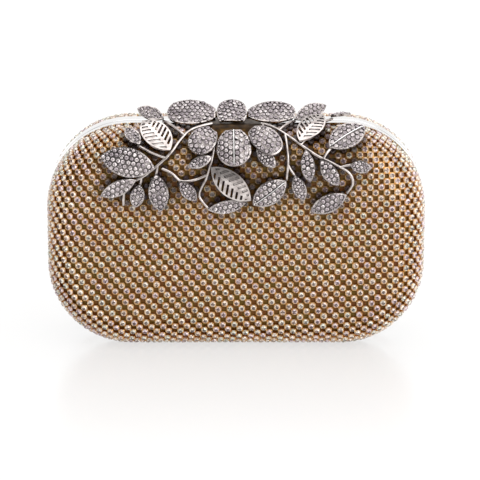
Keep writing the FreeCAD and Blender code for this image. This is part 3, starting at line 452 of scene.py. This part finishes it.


# Frames: two cast rims, polished and rhodium plated, that grip the edges of satin and shell in a channel and
# meet at the seam, where a painted shade darkens their edges to a grey line.
seam_shadow_width = 0.0012
seam_fade = 0.7
plate_haze = 9.0
rhodium_plate, tree, surface = start_material("polished_rhodium_plate")
place = add(tree, "ShaderNodeTexCoord", {}).outputs["Object"]
haze = add(tree, "ShaderNodeTexNoise", {"Vector": place, "Scale": 1000 / plate_haze, "Detail": 5.0})
tones = add(tree, "ShaderNodeValToRGB", {"Fac": haze.outputs["Fac"]},
            stops=((0.3, "#F4F2F0"), (0.7, "#FFFFFF")))
dulling = add(tree, "ShaderNodeMapRange", {"Value": haze.outputs["Fac"], "To Min": 0.05, "To Max": 0.14})
# Painted shade: the colour turns grey close to the seam and fades back to the plating a little further out.
depth = add(tree, "ShaderNodeSeparateXYZ", {"Vector": place}).outputs["Y"]
behind = add(tree, "ShaderNodeMath", {0: depth, 1: seam_y / 1000}, operation="SUBTRACT")
away = add(tree, "ShaderNodeMath", {0: behind.outputs["Value"]}, operation="ABSOLUTE")
seam_shade = add(tree, "ShaderNodeMapRange", {"Value": away.outputs["Value"], "From Min": seam_fade * seam_shadow_width,
                                          "From Max": seam_shadow_width})
colour_with_shade = add(tree, "ShaderNodeMix",
             {0: seam_shade.outputs["Result"], 6: linear("#8A898B"), 7: tones.outputs["Color"]}, data_type="RGBA")
plug(tree, surface, {"Base Color": colour_with_shade.outputs[2], "Roughness": dulling.outputs["Result"],
                     "Metallic": 1.0})


def dress(node_name, material):
    """Give a CAD node its finish."""
    slots = nodes[node_name].data.materials
    slots.clear()
    slots.append(material)


for half, body in halves:
    dress(half + "_frame", rhodium_plate)


# Shells: half boxes drawn from aluminium sheet, stiff enough to carry mesh and lining. They are hidden by
# the satin outside and the lining inside.
draw_line = 0.8
drawn_aluminium, tree, surface = start_material("drawn_aluminium")
place = add(tree, "ShaderNodeTexCoord", {}).outputs["Object"]
pulled = add(tree, "ShaderNodeMapping", {"Vector": place, "Scale": (1.0, 0.05, 1.0)})
lines = add(tree, "ShaderNodeTexNoise",
            {"Vector": pulled.outputs["Vector"], "Scale": 1000 / draw_line, "Detail": 3.0})
tones = add(tree, "ShaderNodeValToRGB", {"Fac": lines.outputs["Fac"]},
            stops=((0.3, "#B4B6B8"), (0.7, "#D2D3D4")))
dulling = add(tree, "ShaderNodeMapRange", {"Value": lines.outputs["Fac"], "To Min": 0.3, "To Max": 0.5})
plug(tree, surface, {"Base Color": tones.outputs["Color"], "Roughness": dulling.outputs["Result"],
                     "Metallic": 1.0})
for half, body in halves:
    dress(half + "_shell", drawn_aluminium)


# Linings: champagne satin over thin card, pressed into each half and tucked behind the frame. Its threads,
# too, are drawn coarser than they are, 3 mm apart, and a slow swell shows where it was pulled tight.
lining_inset = 5.4
lining_thick = 1.0
lining_swell = 26.0
lining_step = 0.5
champagne_satin, tree, surface = start_material("champagne_satin")
place = add(tree, "ShaderNodeTexCoord", {}).outputs["Object"]
soft = add(tree, "ShaderNodeTexNoise", {"Vector": place, "Scale": 1000 / lining_swell, "Detail": 3.0})
tones = add(tree, "ShaderNodeValToRGB", {"Fac": soft.outputs["Fac"]},
            stops=((0.3, "#B79E78"), (0.7, "#CDB692")))
threads = add(tree, "ShaderNodeTexWave",
              {"Vector": place, "Scale": 1000 / (lining_step * wave_radians), "Distortion": 1.0,
               "Detail": 1.0}, bands_direction="Z")
pulls = add(tree, "ShaderNodeBump", {"Height": soft.outputs["Fac"], "Strength": 0.35, "Distance": 0.002})
ridges = add(tree, "ShaderNodeBump", {"Height": threads.outputs["Fac"], "Strength": 0.15, "Distance": 0.0001,
                                      "Normal": pulls.outputs["Normal"]})
plug(tree, surface, {"Base Color": tones.outputs["Color"], "Normal": ridges.outputs["Normal"],
                     "Roughness": 0.4, "Sheen Weight": 0.4})

for half, body in halves:
    low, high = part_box(half + "_lining")
    start = abs((high.y if half == "front" else low.y) * 1000 - seam_y)
    lining = add_piece(half + "_lining_satin", half_tray(lining_inset, start, lining_thick), champagne_satin,
                       body, rear=half == "rear", smooth=True)
    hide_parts(half + "_lining")


# Slip pocket: a flat piece of the lining satin with a turned hem, sewn to the rear lining on three sides
# with a running stitch.
pocket_low, pocket_high = (corner * 1000 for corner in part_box("slip_pocket"))
pocket_corner = 8.0
pocket_thick = 0.5
hem_thick = 0.3
hem_height = 7.0
hem_foot = pocket_high.z - hem_height
bm = bmesh.new()
bmesh.ops.create_grid(bm, x_segments=1, y_segments=1, size=0.5)
bmesh.ops.rotate(bm, matrix=Matrix.Rotation(math.pi / 2, 3, "X"), verts=bm.verts)
bmesh.ops.translate(bm, vec=(0, 0, 0.5), verts=bm.verts)
bmesh.ops.scale(bm, vec=(pocket_high.x - pocket_low.x, 1, pocket_high.z - pocket_low.z), verts=bm.verts)
bmesh.ops.translate(bm, vec=(0, pocket_high.y, pocket_low.z), verts=bm.verts)
feet = [vert for vert in bm.verts if vert.co.z < pocket_low.z + 1]
bmesh.ops.bevel(bm, geom=feet, affect="VERTICES", offset=pocket_corner, segments=8, profile=0.5, material=-1)
parts = bm.verts[:] + bm.edges[:] + bm.faces[:]
bmesh.ops.bisect_plane(bm, geom=parts, plane_co=(0, 0, hem_foot), plane_no=(0, 0, 1))
panel = extrude(bm, bm.faces[:], (0, -pocket_thick, 0))
hem = [part for part in panel if part.calc_center_median().z > hem_foot]
extrude(bm, hem, (0, -hem_thick, 0))
bmesh.ops.recalc_face_normals(bm, faces=bm.faces)
pocket = add_piece("slip_pocket_satin", bm, champagne_satin, "rear_half")
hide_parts("slip_pocket")

# Silk thread: a twisted two-ply thread, a shade darker than the satin, with the slant of its twist showing,
# drawn coarser than it is.
twist_step = 0.35
silk_thread, tree, surface = start_material("silk_thread")
place = add(tree, "ShaderNodeTexCoord", {}).outputs["Object"]
twist = add(tree, "ShaderNodeTexWave", {"Vector": place, "Scale": 1000 / (twist_step * wave_radians)},
            bands_direction="DIAGONAL")
tones = add(tree, "ShaderNodeValToRGB", {"Fac": twist.outputs["Fac"]},
            stops=((0.2, "#8F7750"), (0.8, "#AD9468")))
plug(tree, surface, {"Base Color": tones.outputs["Color"], "Roughness": 0.55})

stitch_size = (1.7, 0.3, 0.36)
stitch_pitch = 2.4
stitch_inset = 1.6
hem_stitch_up = 1.4
pocket_face = pocket_low.y + 0.25
level_stitches = range(-21, 22)
side_stitches = range(4, 22)
bm = bmesh.new()
bmesh.ops.create_icosphere(bm, subdivisions=1, radius=0.5)
bmesh.ops.scale(bm, vec=stitch_size, verts=bm.verts)
stitch = to_mesh(bm, "stitch")
stitch_places = []
side_x = pocket_high.x - stitch_inset
foot_z = pocket_low.z + stitch_inset
for number in level_stitches:
    along = number * stitch_pitch
    stitch_places.append(Matrix.Translation((along, pocket_face, foot_z)))
    stitch_places.append(Matrix.Translation((along, pocket_low.y, hem_foot + hem_stitch_up)))
for number, side in product(side_stitches, (-side_x, side_x)):
    spot = (side, pocket_face, foot_z + number * stitch_pitch)
    if spot[2] < hem_foot:
        stitch_places.append(Matrix.Translation(spot) @ Matrix.Rotation(math.pi / 2, 4, "Y"))
add_piece("slip_pocket_stitches", repeat(stitch, stitch_places, 3, 0), silk_thread, "rear_half",
          smooth=True)


# Hinges and clasp: stamped and brushed steel leaves, pins, rivets and screws, and a leaf spring that flattens
# as the lever is pressed. They sit inside the channel of the frames and behind the flower.
brush_line = 0.3
brushed_steel, tree, surface = start_material("brushed_steel")
place = add(tree, "ShaderNodeTexCoord", {}).outputs["Object"]
pulled = add(tree, "ShaderNodeMapping", {"Vector": place, "Scale": (0.06, 1.0, 1.0)})
lines = add(tree, "ShaderNodeTexNoise",
            {"Vector": pulled.outputs["Vector"], "Scale": 1000 / brush_line, "Detail": 2.0})
tones = add(tree, "ShaderNodeValToRGB", {"Fac": lines.outputs["Fac"]},
            stops=((0.3, "#A9A8A6"), (0.7, "#CFCDCA")))
dulling = add(tree, "ShaderNodeMapRange", {"Value": lines.outputs["Fac"], "To Min": 0.2, "To Max": 0.36})
plug(tree, surface, {"Base Color": tones.outputs["Color"], "Roughness": dulling.outputs["Result"],
                     "Metallic": 1.0})
for part in ("front_hinge_leaf_left", "front_hinge_leaf_right", "rear_hinge_leaf_left",
             "rear_hinge_leaf_right", "hinge_pin_left", "hinge_pin_right", "front_hinge_rivets",
             "rear_hinge_rivets", "clasp_bracket", "clasp_bracket_screws", "clasp_pin", "clasp_spring"):
    dress(part, brushed_steel)
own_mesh(nodes["clasp_spring"])


# Spray: stems and slotted leaves cast in white metal, polished and rhodium plated, soldered to a strap that
# is screwed to the front frame. Tops stay bright and painted shade darkens the hollows. The trays of the pave
# leaves are the same metal with their beds greyed by painted shade, so that the stones stand out.
casting_grain = 2.5
hollow_reach = 0.0013
castings = {}
for name, dark, bright, hollow in (("rhodium_plated_casting", 0.5, 0.97, "#1E1B1A"),
                                   ("oxidised_tray_casting", 0.62, 1.1, "#4A4645")):
    castings[name], tree, surface = start_material(name)
    place = add(tree, "ShaderNodeTexCoord", {}).outputs["Object"]
    grain = add(tree, "ShaderNodeTexNoise", {"Vector": place, "Scale": 1000 / casting_grain, "Detail": 4.0})
    tones = add(tree, "ShaderNodeValToRGB", {"Fac": grain.outputs["Fac"]},
                stops=((0.3, "#A69C99"), (0.55, "#CFC6C2"), (0.75, "#EBE4E0")))
    # Painted shade: an occlusion node darkens the colour in hollows, slots and beds towards the hollow
    # colour.
    hollows = add(tree, "ShaderNodeAmbientOcclusion", {"Distance": hollow_reach}, samples=8)
    hollow_shade = add(tree, "ShaderNodeMapRange",
               {"Value": hollows.outputs["AO"], "From Min": dark, "From Max": bright})
    colour_with_shade = add(tree, "ShaderNodeMix",
                 {0: hollow_shade.outputs["Result"], 6: linear(hollow), 7: tones.outputs["Color"]}, data_type="RGBA")
    dulling = add(tree, "ShaderNodeMapRange",
                  {"Value": grain.outputs["Fac"], "To Min": 0.24, "To Max": 0.12})
    skin = add(tree, "ShaderNodeBump", {"Height": grain.outputs["Fac"], "Strength": 0.2, "Distance": 0.0002})
    plug(tree, surface, {"Base Color": colour_with_shade.outputs[2], "Roughness": dulling.outputs["Result"],
                         "Normal": skin.outputs["Normal"], "Metallic": 1.0})
for part in ("left_stem", "lower_stem", "right_stem", "left_ribbed_leaf", "lower_ribbed_leaf",
             "right_ribbed_leaf"):
    dress(part, castings["rhodium_plated_casting"])

# Bronzed brass: strap and lever are browned so that they sink into the gold of the mesh behind the flower,
# with brassy wear where they were handled.
bronze_mottle = 3.0
bronzed_brass, tree, surface = start_material("bronzed_brass")
place = add(tree, "ShaderNodeTexCoord", {}).outputs["Object"]
mottle = add(tree, "ShaderNodeTexNoise", {"Vector": place, "Scale": 1000 / bronze_mottle, "Detail": 5.0})
tones = add(tree, "ShaderNodeValToRGB", {"Fac": mottle.outputs["Fac"]},
            stops=((0.35, "#2A1C0C"), (0.55, "#463012"), (0.75, "#6E5026")))
dulling = add(tree, "ShaderNodeMapRange", {"Value": mottle.outputs["Fac"], "To Min": 0.5, "To Max": 0.3})
plug(tree, surface, {"Base Color": tones.outputs["Color"], "Roughness": dulling.outputs["Result"],
                     "Metallic": 1.0})
for part in ("ornament_plate", "ornament_plate_screws", "clasp_lever"):
    dress(part, bronzed_brass)


# Pave leaves and petals: cast trays with a thin polished rim, their beds filled with clear stones of four
# sizes, set a little unevenly. Three of the longest carry a polished wire down the middle as a vein.
pave_radii = (1.15, 0.82, 0.52, 0.36)
pave_gap = 0.1
pave_stray = 0.13
pave_shrink = 0.86
pave_clear = 0.85
pave_rise = 0.62
pave_lift = 0.1
pave_tilt = 0.2
fill_step = 0.45
fewest_large = 9
bed_length = 15
bed_width = 11
bed_slope = 0.4
drop_height = 20
round_share = 1.3
viewer_side = Vector((0, -1, 0.6))
bed_warp = 0.2
vein_radius = 0.22
vein_step = 0.5
vein_up = 0.9
vein_steps = range(-30, 31)
veined_leaves = ("front_middle_petal", "right_large_leaf", "right_low_leaf")
pave_leaves = ("left_large_leaf", "left_low_leaf", "left_bud_leaf", "left_inner_leaf", "left_upper_leaf",
               "left_side_leaf", "left_star_leaf", "lower_leaf", "under_petal_leaf", "right_low_leaf",
               "right_upper_leaf", "right_middle_leaf", "right_star_leaf", "right_bottom_leaf",
               "right_large_leaf", "right_side_leaf", "right_tip_leaf", "top_left_leaf", "top_right_leaf",
               "front_left_petal", "front_middle_petal", "front_right_petal", "top_left_petal",
               "top_middle_petal", "top_right_petal")
body_of = {node: body for body, members in frame["record"]["behaviour"]["bodies"].items() for node in members}


def leaf_axes(leaf):
    """A leaf's middle, its length, width and outward directions, and a tree to drop stones onto its bed.

    A leaf that is nearly round has its length laid the way that stands most upright.
    """
    bm = bmesh.new()
    bm.from_mesh(leaf.data)
    bmesh.ops.scale(bm, vec=(1000, 1000, 1000), verts=bm.verts)
    bed = BVHTree.FromBMesh(bm)
    points = np.array([vert.co[:] for vert in bm.verts])
    bm.free()
    middle = points.mean(0)
    spread, ways = np.linalg.eigh(np.cov((points - middle).T))
    out, across, along = (Vector(way) for way in ways.T)
    if spread[2] < round_share * spread[1] and abs(across.z) > abs(along.z):
        along = across
    if out.dot(viewer_side) < 0:
        out.negate()
    return Vector(middle), along, out.cross(along), out, bed


def seat_on_bed(axes, a, b, clear):
    """The place on a leaf's bed for a point of its plane, if the bed is open for a clear radius around it."""
    middle, along, across, out, bed = axes
    spots = []
    for step in range(7):
        turn = step * math.pi / 3
        reach = clear if step else 0
        start = middle + along * (a + reach * math.cos(turn)) + across * (b + reach * math.sin(turn))
        start += out * drop_height
        spot, normal, _, _ = bed.ray_cast(start, -out)
        if spot is None or normal.dot(out) < bed_slope:
            return None
        spots.append(spot)
    for one, other in ((1, 4), (2, 5), (3, 6)):
        if abs(((spots[one] + spots[other]) / 2 - spots[0]).dot(out)) > bed_warp:
            return None
    normal = (spots[1] - spots[4]).cross(spots[2] - spots[5])
    if normal.dot(out) < 0:
        normal.negate()
    normal.normalize()
    side = (along - normal * along.dot(normal)).normalized()
    turn = Matrix((side, normal.cross(side), normal)).transposed().to_4x4()
    return Matrix.Translation(spots[0]) @ turn


def pave_bed(axes, radii, shift, vein):
    """Pack a bed with stones from large to small, each clear of the rim, the vein and the stones before it.

    Each stone is its two places in the bed's plane, its own radius, its seat and the radius of its size.
    """
    taken = []
    chance = random.Random(shift)
    for size in radii:
        pitch = 2 * size + pave_gap if size == radii[0] else fill_step
        middle_row = size + vein_radius if vein else 0
        rows = range(int(bed_width / pitch))
        columns = range(-int(bed_length / pitch), int(bed_length / pitch) + 1)
        for row, side, column in product(rows, (-1, 1), columns):
            line = side * (middle_row + row * pitch * math.sqrt(3) / 2)
            a = (column + row % 2 / 2 + shift) * pitch + chance.uniform(-pave_stray, pave_stray)
            b = line + side * chance.uniform(0 if vein else -pave_stray, pave_stray)
            radius = size * chance.uniform(pave_shrink, 1.0)
            near = [one for one in taken
                    if (one[0] - a) ** 2 + (one[1] - b) ** 2 < (one[2] + radius + pave_gap / 2) ** 2]
            seat = None if near else seat_on_bed(axes, a, b, radius * pave_clear)
            if seat:
                taken.append((a, b, radius, seat, size))
    return taken


def vein_wire(axes):
    """A round wire laid along the middle of a bed, a little sunk between its stones."""
    curve = bpy.data.curves.new("vein", "CURVE")
    curve.dimensions = "3D"
    curve.bevel_depth = vein_radius
    curve.bevel_resolution = 2
    curve.use_fill_caps = True
    seats = [seat_on_bed(axes, vein_step * step, 0, vein_radius) for step in vein_steps]
    spots = [seat @ Vector((0, 0, vein_up)) for seat in seats if seat]
    line = curve.splines.new("POLY")
    line.points.add(len(spots) - 1)
    for point, spot in zip(line.points, spots):
        point.co = spot.to_4d()
    holder = bpy.data.objects.new("vein", curve)
    mesh = bpy.data.meshes.new_from_object(holder)
    bm = bmesh.new()
    bm.from_mesh(mesh)
    bmesh.ops.recalc_face_normals(bm, faces=bm.faces)
    for block, store in ((holder, bpy.data.objects), (curve, bpy.data.curves), (mesh, bpy.data.meshes)):
        store.remove(block)
    return bm


# Clear pave glass: small foiled stones. Their cuts are painted as a bright ring of reflection round a greyer
# table within a dark edge of shade between stones, and some are painted much duller, as if facing away from
# the light.
pave_glass = cut_glass(
    "clear_pave_glass", roughness=0.12, metallic=0.3,
    brightness=((0.0, "#4C484B"), (0.38, "#918B8E"), (0.72, "#D0C9CB"), (1.0, "#FCF8F7")),
    hues=((0.1, "#BFB8BC"), (0.5, "#E4DDDF"), (0.8, "#FFFBFA")))
# Painted reflection and shade: the outer cuts dark, the inner cuts bright and the table grey.
pave_crown = ((0.86, 0.5, (0.15, 0.3)), (0.52, 0.5, (1.0, 0.8)))
stone_units = {size: faceted_stone(size, pave_rise * size, pave_crown, (0.35, 0.6)) for size in pave_radii}
for number, name in enumerate(pave_leaves):
    dress(name, castings["oxidised_tray_casting"])
    axes = leaf_axes(nodes[name])
    shift = random.Random(number).random()
    taken = pave_bed(axes, pave_radii, shift, name in veined_leaves)
    if sum(one[4] == pave_radii[0] for one in taken) < fewest_large:
        taken = pave_bed(axes, pave_radii[1:], shift, name in veined_leaves)
    bm = bmesh.new()
    for size, unit in stone_units.items():
        places = []
        for a, b, radius, seat, nominal in taken:
            if nominal == size:
                raised = Matrix.Translation((0, 0, pave_lift + pave_rise * radius))
                places.append(seat @ raised @ Matrix.Scale(radius / size, 4))
        joined = to_mesh(repeat(unit, places, number, pave_tilt), "joined")
        bm.from_mesh(joined)
        bpy.data.meshes.remove(joined)
    add_piece(name + "_stones", bm, pave_glass, body_of[name])
    if name in veined_leaves:
        add_piece(name + "_vein", vein_wire(axes), rhodium_plate, body_of[name], smooth=True)


# Stage: a white table under broad soft lights, glossy near the case, where it throws back a faint image of
# it, and matt further to the front.
table_size = 3.0
table_drop = 0.0003
table_haze = 125.0
matt_y = -0.19
glossy_y = -0.03
white_table, tree, surface = start_material("white_acrylic_table")
place = add(tree, "ShaderNodeTexCoord", {}).outputs["Object"]
haze = add(tree, "ShaderNodeTexNoise", {"Vector": place, "Scale": 1000 / table_haze})
dulling = add(tree, "ShaderNodeMapRange", {"Value": haze.outputs["Fac"], "To Min": 0.2, "To Max": 0.28})
# Painted glow: camera and glossy rays see a greyer table that glows, less near the case than to the front, so
# that it reads white with a faint shadow and reflection; the light it throws back is white.
path = add(tree, "ShaderNodeLightPath", {})
seen = add(tree, "ShaderNodeMath", {0: path.outputs["Is Camera Ray"], 1: path.outputs["Is Glossy Ray"]},
           operation="MAXIMUM")
depth = add(tree, "ShaderNodeSeparateXYZ", {"Vector": place}).outputs["Y"]
near = add(tree, "ShaderNodeMapRange", {"Value": depth, "From Min": matt_y, "From Max": glossy_y})
gloss = add(tree, "ShaderNodeMath", {0: near.outputs["Result"], 1: 0.5}, operation="MULTIPLY")
white = add(tree, "ShaderNodeMapRange", {"Value": near.outputs["Result"], "To Min": 0.86, "To Max": 0.67})
painted_glow = add(tree, "ShaderNodeMath", {0: seen.outputs["Value"], 1: white.outputs["Result"]},
           operation="MULTIPLY")
tone = add(tree, "ShaderNodeMix", {0: seen.outputs["Value"], 6: linear("#FAFAF9"), 7: linear("#6E6D6C")},
           data_type="RGBA")
plug(tree, surface, {"Base Color": tone.outputs[2], "Roughness": dulling.outputs["Result"], "IOR": 1.65,
                     "Specular IOR Level": gloss.outputs["Value"], "Emission Color": linear("#FFFFFF"),
                     "Emission Strength": painted_glow.outputs["Value"]})
bm = bmesh.new()
bmesh.ops.create_grid(bm, x_segments=1, y_segments=1, size=table_size)
bmesh.ops.translate(bm, vec=(0, 0, -table_drop), verts=bm.verts)
table_mesh = to_mesh(bm, "table")
table_mesh.materials.append(white_table)
table = bpy.data.objects.new("table", table_mesh)
bpy.context.scene.collection.objects.link(table)

# Light: a white room, dimmer to the front, with a broad lamp overhead and a lower one to the right. Both are
# soft, so that plating and stones throw back large pale areas.
scene = bpy.context.scene
world = bpy.data.worlds.new("soft_room")
world.use_nodes = True
scene.world = world
tree = world.node_tree
way = add(tree, "ShaderNodeTexCoord", {}).outputs["Generated"]
axis = add(tree, "ShaderNodeSeparateXYZ", {"Vector": way})
depth = add(tree, "ShaderNodeMapRange", {"Value": axis.outputs["Y"], "From Min": -1.0, "From Max": 0.3,
                                         "To Min": 0.3, "To Max": 0.95})
plug(tree, tree.nodes["Background"], {"Color": linear("#FFFFFF"), "Strength": depth.outputs["Result"]})
lamp_aim = Vector((0, 0, 0.05))
for name, spot, size, power in (("key", (0.25, -0.5, 1.5), 2.2, 20.5),
                                ("fill", (0.9, -1.0, 0.25), 1.2, 10.0)):
    lamp = bpy.data.lights.new(name, "AREA")
    lamp.size = size
    lamp.energy = power
    holder = bpy.data.objects.new(name, lamp)
    holder.location = spot
    holder.rotation_euler = (lamp_aim - Vector(spot)).to_track_quat("-Z", "Y").to_euler()
    scene.collection.objects.link(holder)

# Camera: a long lens, turned square to the case and looking down on it a little, so that a line of the rear
# half shows above the seam.
elevation = math.radians(16)
distance = 1.3
aim = Vector((0.0019, 0, 0.052))
aim_drop = 0.0036
lens = bpy.data.cameras.new("camera")
lens.lens = 202.8
lens.sensor_width = 36
lens.clip_start = 0.05
camera = bpy.data.objects.new("camera", lens)
camera.rotation_euler = (math.pi / 2 - elevation, 0, 0)
sight = Vector((0, math.cos(elevation), -math.sin(elevation)))
upright = Vector((0, math.sin(elevation), math.cos(elevation)))
camera.location = aim - aim_drop * upright - distance * sight
scene.collection.objects.link(camera)
scene.camera = camera
scene.view_settings.view_transform = "Standard"

bpy.context.view_layer.update()
